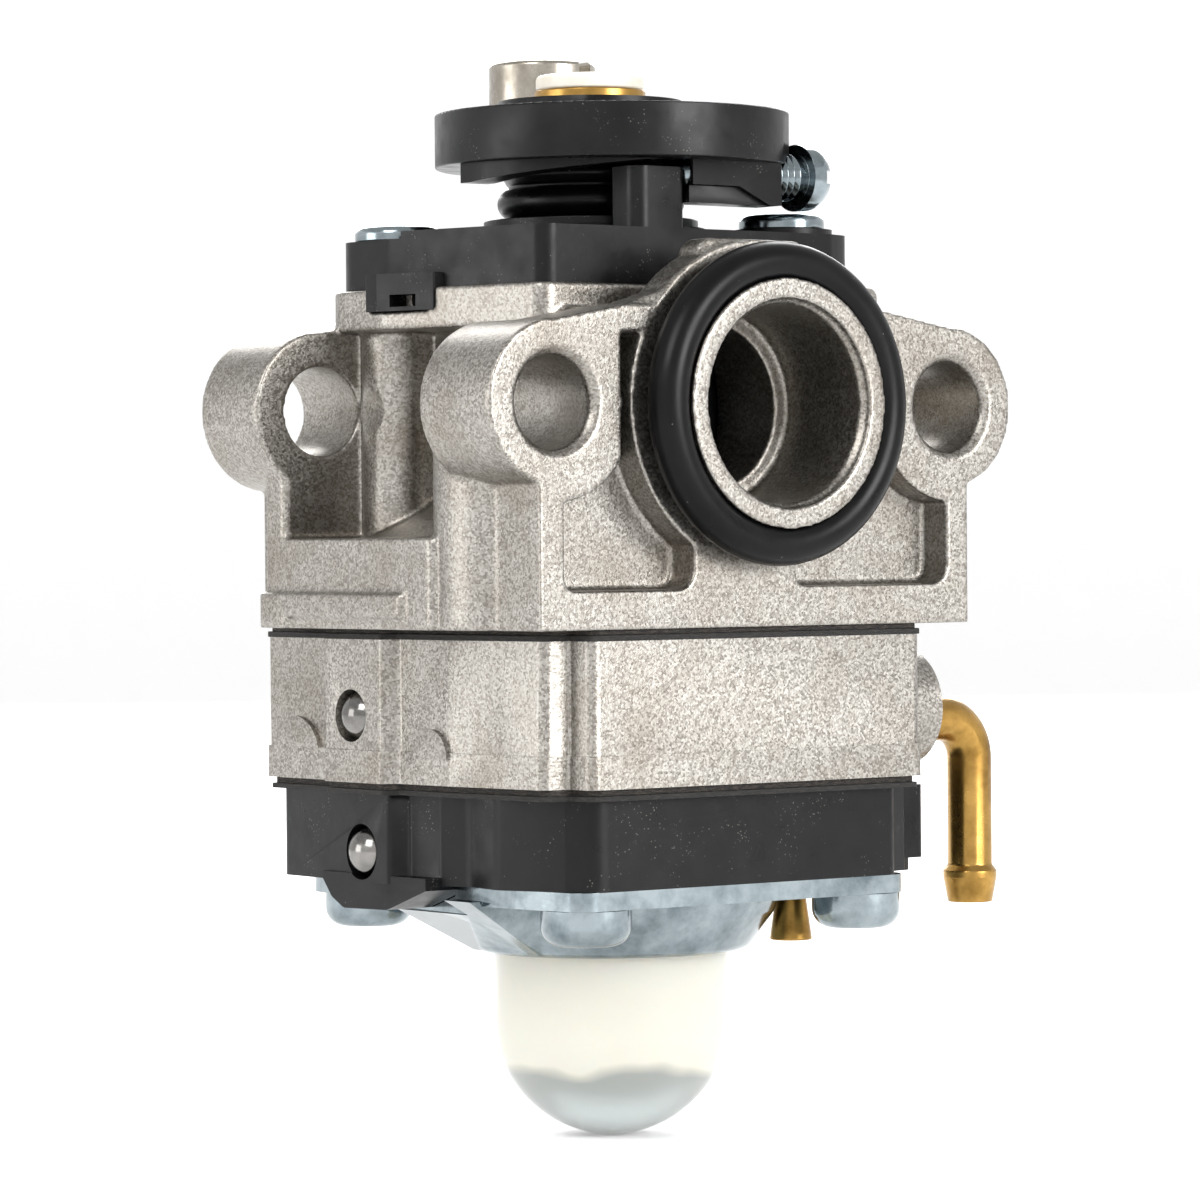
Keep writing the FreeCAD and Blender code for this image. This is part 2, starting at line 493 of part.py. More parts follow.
def coil(x, y, z0, z1, radius, wire_r, turns):
    """Coil spring along Z with open ends, lofted through eight-sided sections of the wire."""
    rise = (z1 - z0 - 2 * wire_r) / turns / 16
    rings = []
    for i in range(turns * 16 + 1):
        turn = math.pi * i / 8
        corners = []
        for k in range(8):
            around = math.pi * k / 4
            r = radius + wire_r * math.cos(around)
            corners.append(V(x + r * math.cos(turn), y + r * math.sin(turn),
                             z0 + wire_r + rise * i + wire_r * math.sin(around)))
        rings.append(Part.makePolygon(corners + corners[:1]))
    return Part.makeLoft(rings, True, True)


def lever_spring():
    return coil(-0.4, NEEDLE_Y, LEVER_PIN_Z + 1.2, Z_METER_BODY + 5.5, 0.85, 0.17, 4)


def diaphragm_rivet():
    x, y = 0, MID_Y
    top = cyl_z(x, y, Z_METER_GASKET, Z_METER_GASKET + 0.6, 2.6)
    shank = cyl_z(x, y, Z_METER_SHEET - 0.5, Z_METER_GASKET, 1.95)
    foot = cyl_z(x, y, Z_METER_SHEET - 0.5, Z_METER_SHEET, 2.6)
    return joined(top, shank, foot)


def inlet_screen():
    z = Z_PUMP_SHEET - 1.15
    disc = cyl_z(4.6, ELBOW_Y, z, z + 0.3, 2.15)
    slots = [box(4.6 + i * 0.8 - 0.2, 4.6 + i * 0.8 + 0.2, ELBOW_Y - 1.4, ELBOW_Y + 1.4, z - 1, z + 1)
             for i in (-1, 0, 1)]
    return disc.cut(slots)


def primer_check_valve():
    """Umbrella valve of rubber, its stem pulled up through the purge body."""
    z = Z_PURGE + 1.2
    cap = turned([(0, z, 0), (4.3, z, 0), (4.1, z - 0.35, 0.1), (1.3, z - 0.9, 0.6), (0, z - 0.9, 0)], 0, MID_Y)
    stem = cyl_z(0, MID_Y, z, Z_METER_SHEET - 1.4, 0.97)
    return joined(cap, stem)


# ---- throttle cover ---------------------------------------------------------------------------
POST = (-3.9, -0.05, 7.0, 9.6)     # x0, x1, y0, y1 of the stop post


def cover_clip():
    """Skirt on the left of the cover that laps over the edge of the body."""
    return plan([(-14.55, 20.6, 0.1), (-14.55, 19.4, 0.3), (-13.4, 15.0, 0.1), (-12.3, 15.0, 0.1),
                 (-13.2, 19.4, 0.3), (-13.2, 20.6, 0.1)], 6.05, Z_COVER + 0.9)


def throttle_cover():
    body = plan(cover_seat(0.0), Z_COVER, Z_COVER_TOP)
    lobe_x, lobe_y = COVER_SCREWS[1]
    pad = cyl_z(lobe_x, lobe_y, Z_COVER, Z_LOBE_RIGHT, 3.2)
    collar = cyl_z(0, BARREL_Y, Z_COVER_TOP - 0.1, Z_COVER_TOP + 0.35, 7.2)
    x0, x1, y0, y1 = POST
    post = plan([(x0, y0, 1.0), (x1, y0, 0.4), (x1, y1, 0.4), (x0, y1, 0.4)], Z_COVER, 14.75)
    cover = joined(body, pad, cover_clip(), collar, post)
    ball_x, ball_y = cam_ball_place()
    left_x, left_y = COVER_SCREWS[0]
    cuts = [cyl_z(left_x, left_y, Z_LOBE_LEFT, Z_COVER_TOP + 1, 3.4),
            box(-20, left_x, left_y - 4, left_y + 6, Z_LOBE_LEFT, Z_COVER_TOP + 1),
            box(-16, -12.9, 16.4, 18.4, 6.3, 7.05),
            cyl_z(0, BARREL_Y, Z_COVER - 1, Z_COVER + 2.2, BARREL_BORE_R),
            cyl_z(0, BARREL_Y, Z_COVER, Z_COVER_TOP + 2, STEM_R + 0.05),
            Part.makeSphere(BALL_R + 0.02, V(ball_x, ball_y, Z_LEVER - 0.04 - BALL_R))]
    cuts += [cyl_z(x, y, Z_COVER - 1, Z_COVER_TOP + 1, M3_CLEAR_R) for x, y in COVER_SCREWS]
    return cover.cut(cuts)


def cam_ball_place():
    a = math.radians(CAM_ANGLE)
    return CAM_R * math.cos(a), BARREL_Y + CAM_R * math.sin(a)


def cam_ball():
    x, y = cam_ball_place()
    return Part.makeSphere(BALL_R, V(x, y, Z_LEVER - 0.04 - BALL_R))


def cover_screws():
    return Part.makeCompound([screw_z(x, y, seat, 2.7, 0.95, 1.45, Z_TOP - 7.5, True)
                              for (x, y), seat in zip(COVER_SCREWS, (Z_LOBE_LEFT, Z_LOBE_RIGHT))])


def boot_washer():
    z = Z_COVER_TOP + 0.35
    return cyl_z(0, BARREL_Y, z, z + 0.55, 6.75).cut(cyl_z(0, BARREL_Y, z - 1, z + 1, STEM_R + 0.3))


def dust_boot():
    """Rubber gaiter between the cover and the lever."""
    z0, z1 = Z_COVER_TOP + 0.9, Z_LEVER - 0.05
    height = z1 - z0
    outer = turned([(STEM_R + 0.6, z0, 0), (5.2, z0, 0.3), (6.25, z0 + height * 0.35, 0.9),
                    (5.3, z0 + height * 0.62, 0.5), (5.9, z0 + height * 0.8, 0.4), (5.4, z1, 0.2),
                    (STEM_R + 0.6, z1, 0)], 0, BARREL_Y)
    return outer


# ---- throttle barrel and lever ------------------------------------------------------------------
def throttle_barrel():
    """Rotary barrel; its cross hole lines up with the bore at full throttle, after turning and rising."""
    body = joined(cyl_z(0, BARREL_Y, BARREL_FLOOR + 0.15, BARREL_CROWN, BARREL_R),
                  cyl_z(0, BARREL_Y, BARREL_CROWN - 1, Z_LEVER, STEM_R))
    through = cyl_y(0, -LIFT, BARREL_Y - 10, BARREL_Y + 10, THROAT_R)
    through.rotate(V(0, BARREL_Y, 0), Z_AXIS, -TURN)
    spring_well = cyl_z(0, BARREL_Y, BARREL_CROWN - 1.2, BARREL_CROWN + 1, 5.6).cut(
        cyl_z(0, BARREL_Y, 0, 9, STEM_R + 0.6))
    cuts = [through, spring_well, cyl_z(0, BARREL_Y, -10, -5, 1.6),
            cyl_z(0, BARREL_Y, 0, Z_LEVER + 1, 1.0), cyl_z(0, BARREL_Y, 11.0, Z_LEVER + 1, 2.3)]
    return body.cut(cuts)


def return_spring():
    return coil(0, BARREL_Y, BARREL_CROWN - 1.2, Z_COVER + 1.7, 4.7, 0.4, 2)


def spring_washer():
    z1 = Z_COVER + 2.15
    return cyl_z(0, BARREL_Y, z1 - 0.4, z1, 6.3).cut(cyl_z(0, BARREL_Y, z1 - 1, z1 + 1, STEM_R + 0.1))


LEVER_CENTRE = (1.1, 15.7)
LEVER_R = 11.15
SWIVEL = (1.5, 23.4)
SWIVEL_R = 3.4
IDLE_Y, IDLE_Z, IDLE_SEAT = 8.2, 14.5, 9.75
ARM = (0.2, 7.3, 6.5, 10.2, 12.6)  # x0, x1, y0, y1 and foot of the arm that holds the idle screw


def throttle_lever():
    cx, cy = LEVER_CENTRE
    disc = cyl_z(cx, cy, Z_LEVER, Z_LEVER_TOP, LEVER_R)
    disc = softened(disc, 0.12, lambda e: isinstance(e.Curve, Part.Circle))
    pad = cyl_z(0, BARREL_Y, Z_LEVER_TOP - 0.2, Z_LEVER_TOP + 0.8, 5.8)
    x0, x1, y0, y1, z0 = ARM
    arm = box(x0, x1, y0, y1, z0, Z_LEVER + 1)
    arm = arm.makeChamfer(1.2, [e for e in arm.Edges
                                if abs(e.BoundBox.ZMax - z0) < 0.01 and e.BoundBox.XLength > 2
                                and e.BoundBox.YMin > y1 - 0.1])
    pocket = front([(x0 - 1, z0 - 1, 0), (x1 - 1.0, z0 - 1, 0), (x1 - 1.0, z0, 0), (3.9, 13.7, 0),
                    (x0 - 1, 13.7, 0)], y0 - 1, y0 + 0.4)
    lever = joined(disc, pad, arm.cut(pocket))
    cuts = [cyl_z(0, BARREL_Y, Z_LEVER - 1, 21, 2.3), cyl_z(*SWIVEL, Z_LEVER - 1, 21, 1.65),
            cyl_z(*SWIVEL, Z_LEVER - 1, Z_LEVER + 0.9, 2.6), cyl_z(*SWIVEL, Z_LEVER_TOP, 21, SWIVEL_R + 0.06),
            cyl_x(0, 14, IDLE_Y, IDLE_Z, M3_R + 0.05), cyl_x(IDLE_SEAT - 0.15, 14, IDLE_Y, IDLE_Z, 2.3)]
    return lever.cut(cuts)


def lever_cam():
    """Helical track under the lever that rides on the cam ball and lifts the barrel."""
    inner, outer, steps = CAM_R - 1.0, CAM_R + 1.0, 15
    sections = []
    for i in range(steps + 1):
        share = i / steps
        a = math.radians(CAM_ANGLE + 4.0 - share * (TURN + 10.0))
        drop = 0.02 + LIFT * max(0.0, min(1.0, (share * (TURN + 10.0) - 4.0) / TURN))
        c, s = math.cos(a), math.sin(a)
        corners = [V(r * c, BARREL_Y + r * s, z) for r, z in
                   ((inner, Z_LEVER), (outer, Z_LEVER), (outer, Z_LEVER - drop), (inner, Z_LEVER - drop))]
        sections.append(Part.makePolygon(corners + corners[:1]))
    return Part.makeLoft(sections, True, True)


def cable_swivel():
    x, y = SWIVEL
    head = cyl_z(x, y, Z_LEVER_TOP + 0.03, 22.4, SWIVEL_R)
    head = softened(head, 0.3, lambda e: isinstance(e.Curve, Part.Circle) and e.BoundBox.ZMin > 22)
    pin = cyl_z(x, y, Z_LEVER + 0.1, Z_LEVER_TOP + 0.03, 1.6)
    slot = box(x + 0.4, x + 1.6, y - 5, y + 5, 20.9, 23)
    eye = cyl_y(x + 1.0, 20.9, y - 5, y + 5, 1.0)
    return joined(head, pin).cut([slot, eye])


def swivel_clip():
    x, y = SWIVEL
    return cyl_z(x, y, Z_LEVER + 0.25, Z_LEVER + 0.85, 2.5).cut(cyl_z(x, y, 10, 20, 1.6))


def idle_speed_screw():
    tip, seat = POST[1] + 0.05, IDLE_SEAT
    shank = cyl_x(tip + 0.6, seat, IDLE_Y, IDLE_Z, M3_R)
    point = Part.makeCone(0.8, M3_R, 0.6, V(tip, IDLE_Y, IDLE_Z), X_AXIS)
    head = cyl_x(seat, seat + 2.0, IDLE_Y, IDLE_Z, 2.1)
    head = softened(head, 1.4, lambda e: isinstance(e.Curve, Part.Circle) and e.BoundBox.XMin > seat + 1.9)
    slot = box(seat + 1.0, seat + 4, IDLE_Y - 3, IDLE_Y + 3, IDLE_Z - 0.4, IDLE_Z + 0.4)
    return joined(shank, point, head).cut(slot)


# ---- mixture needle and nozzle --------------------------------------------------------------------
def mixture_sleeve():
    head = cyl_z(0, BARREL_Y, Z_LEVER_TOP + 0.8, Z_LEVER_TOP + 1.5, 3.5)
    stem = cyl_z(0, BARREL_Y, 11.2, Z_LEVER_TOP + 0.8, 2.25)
    return joined(head, stem).cut(cyl_z(0, BARREL_Y, 11, 18.5, 0.8))


def limiter_cap():
    z = Z_LEVER_TOP + 1.5
    cap = cyl_z(0, BARREL_Y, z, z + 0.95, 3.4)
    return softened(cap, 0.3, lambda e: isinstance(e.Curve, Part.Circle) and e.BoundBox.ZMin > z + 0.5)


def metering_needle():
    shank = cyl_z(0, BARREL_Y, 2.0, 18.4, 0.75)
    return joined(shank, cone_z(0, BARREL_Y, -6.0, 2.0, 0.3, 0.75))


def main_nozzle():
    """Brass spray tube that stands in the bore and is fed from the metering chamber."""
    low, top = Z_METER_BODY + 2.4, -1.6
    body = joined(cyl_z(0, BARREL_Y, low, BARREL_FLOOR - 0.1, 2.0), cyl_z(0, BARREL_Y, BARREL_FLOOR - 0.2, top, 1.5),
                  cyl_z(0, BARREL_Y, -13.4, -11.2, 3.2))
    return body.cut(cyl_z(0, BARREL_Y, low - 1, top + 1, 0.95))


def nozzle_o_ring():
    return Part.makeTorus(2.72, 0.6, V(0, BARREL_Y, -14.1), Z_AXIS)


def main_jet():
    z0, z1 = Z_METER_BODY + 1.3, Z_METER_BODY + 2.4
    head = cyl_z(0, BARREL_Y, z0, z1, 2.0)
    plug = cyl_z(0, BARREL_Y, z1, z1 + 2.0, 0.93)
    slot = box(-3, 3, BARREL_Y - 0.3, BARREL_Y + 0.3, z0 - 1, z0 + 0.5)
    return joined(head, plug).cut([cyl_z(0, BARREL_Y, z0 - 1, z1 + 3, 0.3), slot])


# ---- write one file per sub-part ---------------------------------------------------------------
NODES = {
    "main_body": main_body, "spigot_o_ring": spigot_o_ring,
    "pump_gasket": pump_gasket, "pump_diaphragm": pump_diaphragm,
    "metering_body": metering_body, "metering_gasket": metering_gasket,
    "metering_diaphragm": metering_diaphragm, "diaphragm_rivet": diaphragm_rivet,
    "purge_body": purge_body, "retainer_plate": retainer_plate, "primer_bulb": primer_bulb,
    "retainer_screws": retainer_screws, "primer_check_valve": primer_check_valve,
    "metering_plug_ball": lambda: plug_ball(PLUG_BALL_Z, -15.65),
    "purge_plug_ball": lambda: plug_ball(PURGE_BALL_Z, -15.2),
    "fuel_inlet_elbow": fuel_inlet_elbow, "return_fitting": return_fitting,
    "inlet_screen": inlet_screen, "inlet_needle": inlet_needle, "metering_lever": metering_lever,
    "lever_pin": lever_pin, "pin_screw": pin_screw, "lever_spring": lever_spring,
    "throttle_cover": throttle_cover, "cover_screws": cover_screws, "cam_ball": cam_ball,
    "boot_washer": boot_washer, "dust_boot": dust_boot,
    "throttle_barrel": throttle_barrel, "return_spring": return_spring, "spring_washer": spring_washer,
    "throttle_lever": throttle_lever, "lever_cam": lever_cam, "cable_swivel": cable_swivel,
    "swivel_clip": swivel_clip, "idle_speed_screw": idle_speed_screw,
    "mixture_sleeve": mixture_sleeve, "limiter_cap": limiter_cap, "metering_needle": metering_needle,
    "main_nozzle": main_nozzle, "nozzle_o_ring": nozzle_o_ring, "main_jet": main_jet,
}

os.makedirs("parts", exist_ok=True)
for name, make in NODES.items():
    shape = make()
    shape.exportStep(f"parts/{name}.step")
    kinds = [s.isValid() for s in shape.Solids]
    print(f"{name:22s} solids {len(shape.Solids)} valid {all(kinds)} volume {shape.Volume:9.2f}")
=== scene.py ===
"""Looks of a small rotary-barrel diaphragm carburetor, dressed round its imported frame.

Every length is in metres, in the frame of the CAD model: +X to the fuel elbow, +Y towards the
engine and +Z along the throttle barrel. Sizes that belong to the CAD are read from its boxes.
"""
import json
import logging
import math
from dataclasses import dataclass
from enum import Enum
from typing import Any

import bmesh
import bpy
from mathutils import Matrix, Vector

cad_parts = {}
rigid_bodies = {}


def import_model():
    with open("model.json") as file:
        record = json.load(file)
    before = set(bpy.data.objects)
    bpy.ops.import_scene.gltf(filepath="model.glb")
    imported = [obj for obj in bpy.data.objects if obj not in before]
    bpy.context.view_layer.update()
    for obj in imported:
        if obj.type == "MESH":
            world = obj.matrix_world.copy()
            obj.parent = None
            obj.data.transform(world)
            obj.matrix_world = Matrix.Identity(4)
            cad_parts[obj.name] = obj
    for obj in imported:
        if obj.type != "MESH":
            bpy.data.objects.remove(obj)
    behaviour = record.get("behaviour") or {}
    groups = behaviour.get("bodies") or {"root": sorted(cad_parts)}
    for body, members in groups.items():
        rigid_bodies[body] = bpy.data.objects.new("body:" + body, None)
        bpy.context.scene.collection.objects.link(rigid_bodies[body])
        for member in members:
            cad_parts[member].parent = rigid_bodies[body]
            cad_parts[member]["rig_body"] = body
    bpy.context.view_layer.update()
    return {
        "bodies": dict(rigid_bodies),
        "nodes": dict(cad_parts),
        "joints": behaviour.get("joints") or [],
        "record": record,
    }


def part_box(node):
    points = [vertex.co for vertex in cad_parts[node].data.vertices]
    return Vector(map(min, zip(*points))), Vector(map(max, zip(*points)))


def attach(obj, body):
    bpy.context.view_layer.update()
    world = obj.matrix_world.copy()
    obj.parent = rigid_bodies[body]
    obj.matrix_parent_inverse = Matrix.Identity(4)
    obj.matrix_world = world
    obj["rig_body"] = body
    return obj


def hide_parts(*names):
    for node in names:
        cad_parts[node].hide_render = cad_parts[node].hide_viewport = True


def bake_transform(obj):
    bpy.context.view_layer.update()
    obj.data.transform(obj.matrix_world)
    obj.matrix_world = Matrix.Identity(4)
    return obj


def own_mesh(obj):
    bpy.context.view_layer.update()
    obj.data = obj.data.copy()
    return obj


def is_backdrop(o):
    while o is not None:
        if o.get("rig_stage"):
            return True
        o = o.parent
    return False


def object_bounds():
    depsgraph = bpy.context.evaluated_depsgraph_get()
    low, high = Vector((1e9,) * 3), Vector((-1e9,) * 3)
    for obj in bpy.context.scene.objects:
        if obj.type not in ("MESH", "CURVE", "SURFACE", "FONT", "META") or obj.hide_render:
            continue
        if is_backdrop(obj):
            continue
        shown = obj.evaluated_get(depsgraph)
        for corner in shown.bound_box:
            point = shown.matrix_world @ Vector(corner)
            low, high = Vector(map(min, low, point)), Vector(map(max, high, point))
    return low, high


LOG = logging.getLogger("carburetor")
MM = 0.001
Colour = tuple[float, float, float, float]


# ---- small tools --------------------------------------------------------------------------------
def linear(hex_code: str) -> Colour:
    """Turn an sRGB hex colour into linear light.

    Args:
        hex_code: Six hex digits.

    Returns:
        Red, green and blue in linear light, fully opaque.
    """
    parts = [int(hex_code[i:i + 2], 16) / 255 for i in (0, 2, 4)]
    light = [c / 12.92 if c <= 0.04045 else ((c + 0.055) / 1.055) ** 2.4 for c in parts]
    return light[0], light[1], light[2], 1.0


def add_node(tree: bpy.types.NodeTree, kind: str, inputs: dict[Any, Any] | None = None,
             **settings: Any) -> bpy.types.Node:
    """Add one shader node with its settings and links.

    Args:
        tree: The tree that gets the node.
        kind: Blender's type name of the node.
        inputs: Socket name or number to a value, or to the output socket that feeds it.
        **settings: Attributes of the node.

    Returns:
        The new node.
    """
    node = tree.nodes.new(kind)
    for key, value in settings.items():
        setattr(node, key, value)
    for key, value in (inputs or {}).items():
        if isinstance(value, bpy.types.NodeSocket):
            tree.links.new(value, node.inputs[key])
        else:
            node.inputs[key].default_value = value
    return node


def ramp(tree: bpy.types.NodeTree, factor: bpy.types.NodeSocket,
         stops: list[tuple[float, Colour]]) -> bpy.types.NodeSocket:
    """Colour ramp through the given stops.

    Args:
        tree: The tree that gets the node.
        factor: What drives the ramp.
        stops: Positions from 0 to 1, each with its colour.

    Returns:
        The ramp's colour output.
    """
    node = add_node(tree, "ShaderNodeValToRGB", {"Fac": factor})
    elements = node.color_ramp.elements
    while len(elements) < len(stops):
        elements.new(0.5)
    for element, (position, colour) in zip(elements, stops):
        element.position = position
        element.color = colour
    return node.outputs["Color"]


def grey(value: float) -> Colour:
    """Opaque grey of that linear value."""
    return value, value, value, 1.0


# ---- finishes -----------------------------------------------------------------------------------
class Slot(Enum):
    """Material slots of the record."""

    CAST = "cast_aluminium"
    PLASTIC = "black_plastic"
    GASKET = "gasket_paper"
    FILM = "diaphragm_film"
    ZINC = "zinc_steel"
    STEEL = "steel"
    NICKEL = "nickel_steel"
    BRASS = "brass"
    RUBBER = "black_rubber"
    BULB = "milky_polyurethane"
    NYLON = "white_nylon"
    RIVET = "rivet_aluminium"


@dataclass(frozen=True)
class Finish:
    """A surface: what it is made of and how it was made."""

    name: str

    def make(self) -> bpy.types.Material:
        """Build the material of this finish."""
        material = bpy.data.materials.new(self.name)
        material.use_nodes = True
        tree = material.node_tree
        tree.nodes.clear()
        where = add_node(tree, "ShaderNodeTexCoord").outputs["Object"]
        shader = add_node(tree, "ShaderNodeBsdfPrincipled")
        self.paint(tree, where, shader)
        add_node(tree, "ShaderNodeOutputMaterial", {"Surface": shader.outputs["BSDF"]})
        return material

    def paint(self, tree: bpy.types.NodeTree, where: bpy.types.NodeSocket,
              shader: bpy.types.Node) -> None:
        """Set the shader's colour, gloss and relief."""
        raise NotImplementedError

    def noise(self, tree: bpy.types.NodeTree, where: bpy.types.NodeSocket, size_mm: float,
              detail: float = 3.0, rough: float = 0.5) -> bpy.types.NodeSocket:
        """Noise whose blotches are size_mm across."""
        inputs = {"Vector": where, "Scale": 1.0 / (size_mm * MM), "Detail": detail,
                  "Roughness": rough}
        return add_node(tree, "ShaderNodeTexNoise", inputs).outputs["Fac"]

    def cells(self, tree: bpy.types.NodeTree, where: bpy.types.NodeSocket, size_mm: float,
              output: str = "Distance") -> bpy.types.NodeSocket:
        """Cells that are size_mm across."""
        inputs = {"Vector": where, "Scale": 1.0 / (size_mm * MM)}
        return add_node(tree, "ShaderNodeTexVoronoi", inputs).outputs[output]

    def relief(self, tree: bpy.types.NodeTree, height: bpy.types.NodeSocket, depth_mm: float,
               strength: float, under: bpy.types.NodeSocket | None = None) -> bpy.types.NodeSocket:
        """Bump of that depth, on top of another bump where one is given."""
        inputs = {"Height": height, "Distance": depth_mm * MM, "Strength": strength}
        if under is not None:
            inputs["Normal"] = under
        return add_node(tree, "ShaderNodeBump", inputs).outputs["Normal"]


@dataclass(frozen=True)
class CastAluminium(Finish):
    """Die-cast aluminium, tumbled in stones: a grey satin skin of fine sparkling grains."""

    light: str = "adaaa4"
    middle: str = "95918b"
    dark: str = "76716b"
    stain: str = "6c6153"
    grain_mm: float = 0.13
    roughness: float = 0.34

    def paint(self, tree: bpy.types.NodeTree, where: bpy.types.NodeSocket,
              shader: bpy.types.Node) -> None:
        """Grains tilt the light at random, and broad stains darken the skin."""
        grains = self.cells(tree, where, self.grain_mm, "Color")
        tone = add_node(tree, "ShaderNodeSeparateColor", {"Color": grains}).outputs["Red"]
        skin = ramp(tree, tone, [(0.0, linear(self.dark)), (0.5, linear(self.middle)),
                                 (1.0, linear(self.light))])
        cloud = self.noise(tree, where, 6.0, 4.0, 0.6)
        share = ramp(tree, cloud, [(0.46, grey(0.0)), (0.78, grey(0.5))])
        mix = add_node(tree, "ShaderNodeMix", {0: share, 6: skin, 7: linear(self.stain)},
                       data_type="RGBA")
        tree.links.new(mix.outputs[2], shader.inputs["Base Color"])
        gloss = ramp(tree, tone, [(0.0, grey(self.roughness)), (1.0, grey(self.roughness + 0.12))])
        tree.links.new(gloss, shader.inputs["Roughness"])
        shader.inputs["Metallic"].default_value = 1.0
        coarse = self.relief(tree, self.noise(tree, where, 0.5, 2.0), 0.05, 0.35)
        fine = self.relief(tree, self.noise(tree, where, self.grain_mm, 1.0), 0.03, 0.45, coarse)
        tree.links.new(fine, shader.inputs["Normal"])


@dataclass(frozen=True)
class MouldedPlastic(Finish):
    """Glass-filled nylon, moulded: near black, half glossy, with pale dust and fibre specks."""

    colour: str = "060607"
    speck: str = "7c776f"
    roughness: float = 0.27
    speck_mm: float = 0.24

    def paint(self, tree: bpy.types.NodeTree, where: bpy.types.NodeSocket,
              shader: bpy.types.Node) -> None:
        """A dark skin with soft flow marks and scattered specks."""
        cloud = self.noise(tree, where, 5.0, 3.0)
        skin = ramp(tree, cloud, [(0.3, linear(self.colour)), (0.75, linear("0d0d0e"))])
        dots = self.cells(tree, where, self.speck_mm)
        patch = self.noise(tree, where, 2.4, 2.0, 0.7)
        near = ramp(tree, dots, [(0.12, grey(1.0)), (0.20, grey(0.0))])
        some = ramp(tree, patch, [(0.54, grey(0.0)), (0.66, grey(0.6))])
        share = add_node(tree, "ShaderNodeMath", {0: near, 1: some},
                         operation="MULTIPLY").outputs[0]
        mix = add_node(tree, "ShaderNodeMix", {0: share, 6: skin, 7: linear(self.speck)},
                       data_type="RGBA")
        tree.links.new(mix.outputs[2], shader.inputs["Base Color"])
        gloss = ramp(tree, self.noise(tree, where, 1.6), [(0.3, grey(self.roughness)),
                                                         (0.7, grey(self.roughness + 0.16))])
        tree.links.new(gloss, shader.inputs["Roughness"])
        shader.inputs["IOR"].default_value = 1.5
        shader.inputs["Specular IOR Level"].default_value = 0.22
        tree.links.new(self.relief(tree, self.noise(tree, where, 0.5), 0.02, 0.35),
                       shader.inputs["Normal"])


@dataclass(frozen=True)
class PlatedSteel(Finish):
    """Pressed or turned steel, bright zinc plated: cool, glossy, with fine orange peel."""

    colour: str = "939da1"
    # shade: the darker colour of the patches, a painted dark reflection
    shade: str = "626d72"
    roughness: float = 0.12
    peel_mm: float = 1.4

    def paint(self, tree: bpy.types.NodeTree, where: bpy.types.NodeSocket,
              shader: bpy.types.Node) -> None:
        """Bright metal with slow ripples; darker patches laid at random are painted dark
        reflections.
        """
        painted_reflection_mask = self.noise(tree, where, 2.6, 5.0, 0.65)
        # Painted reflection: the noise lays the darker shade colour into the plate in patches,
        # standing in for dark reflections.
        skin = ramp(tree, painted_reflection_mask, [(0.3, linear(self.shade)), (0.62, linear(self.colour))])
        tree.links.new(skin, shader.inputs["Base Color"])
        gloss = ramp(tree, painted_reflection_mask, [(0.3, grey(self.roughness)), (0.8, grey(self.roughness + 0.12))])
        tree.links.new(gloss, shader.inputs["Roughness"])
        shader.inputs["Metallic"].default_value = 1.0
        tree.links.new(self.relief(tree, self.noise(tree, where, self.peel_mm, 3.0), 0.04, 0.5),
                       shader.inputs["Normal"])


@dataclass(frozen=True)
class TurnedMetal(Finish):
    """Metal turned on a lathe: bright, with hair-fine tool rings and slight tarnish."""

    colour: str = "b18c4c"
    tarnish: str = "7d5f2e"
    roughness: float = 0.22

    def paint(self, tree: bpy.types.NodeTree, where: bpy.types.NodeSocket,
              shader: bpy.types.Node) -> None:
        """Even metal with streaks across the axis and darker patches."""
        patch = self.noise(tree, where, 3.2, 4.0, 0.6)
        skin = ramp(tree, patch, [(0.32, linear(self.tarnish)), (0.56, linear(self.colour))])
        tree.links.new(skin, shader.inputs["Base Color"])
        gloss = ramp(tree, patch, [(0.3, grey(self.roughness + 0.14)), (0.7, grey(self.roughness))])
        tree.links.new(gloss, shader.inputs["Roughness"])
        shader.inputs["Metallic"].default_value = 1.0
        stretched = add_node(tree, "ShaderNodeMapping",
                             {"Vector": where, "Scale": (0.15, 0.15, 1.0)})
        lines = self.noise(tree, stretched.outputs["Vector"], 0.14, 1.0)
        tree.links.new(self.relief(tree, lines, 0.008, 0.5), shader.inputs["Normal"])


@dataclass(frozen=True)
class MouldedRubber(Finish):
    """Nitrile rubber: black, with a soft broad sheen and a little dust."""

    colour: str = "040405"
    roughness: float = 0.26

    def paint(self, tree: bpy.types.NodeTree, where: bpy.types.NodeSocket,
              shader: bpy.types.Node) -> None:
        """Dark rubber with faint bloom and pin-point dust."""
        bloom = self.noise(tree, where, 4.0, 3.0)
        skin = ramp(tree, bloom, [(0.35, linear(self.colour)), (0.75, linear("09090a"))])
        dust = ramp(tree, self.cells(tree, where, 0.9), [(0.03, grey(0.5)), (0.05, grey(0.0))])
        mix = add_node(tree, "ShaderNodeMix", {0: dust, 6: skin, 7: linear("8f8c86")},
                       data_type="RGBA")
        tree.links.new(mix.outputs[2], shader.inputs["Base Color"])
        gloss = ramp(tree, bloom, [(0.3, grey(self.roughness)), (0.8, grey(self.roughness + 0.15))])
        tree.links.new(gloss, shader.inputs["Roughness"])
        shader.inputs["IOR"].default_value = 1.5
        shader.inputs["Specular IOR Level"].default_value = 0.16
        tree.links.new(self.relief(tree, self.noise(tree, where, 0.3), 0.01, 0.3),
                       shader.inputs["Normal"])


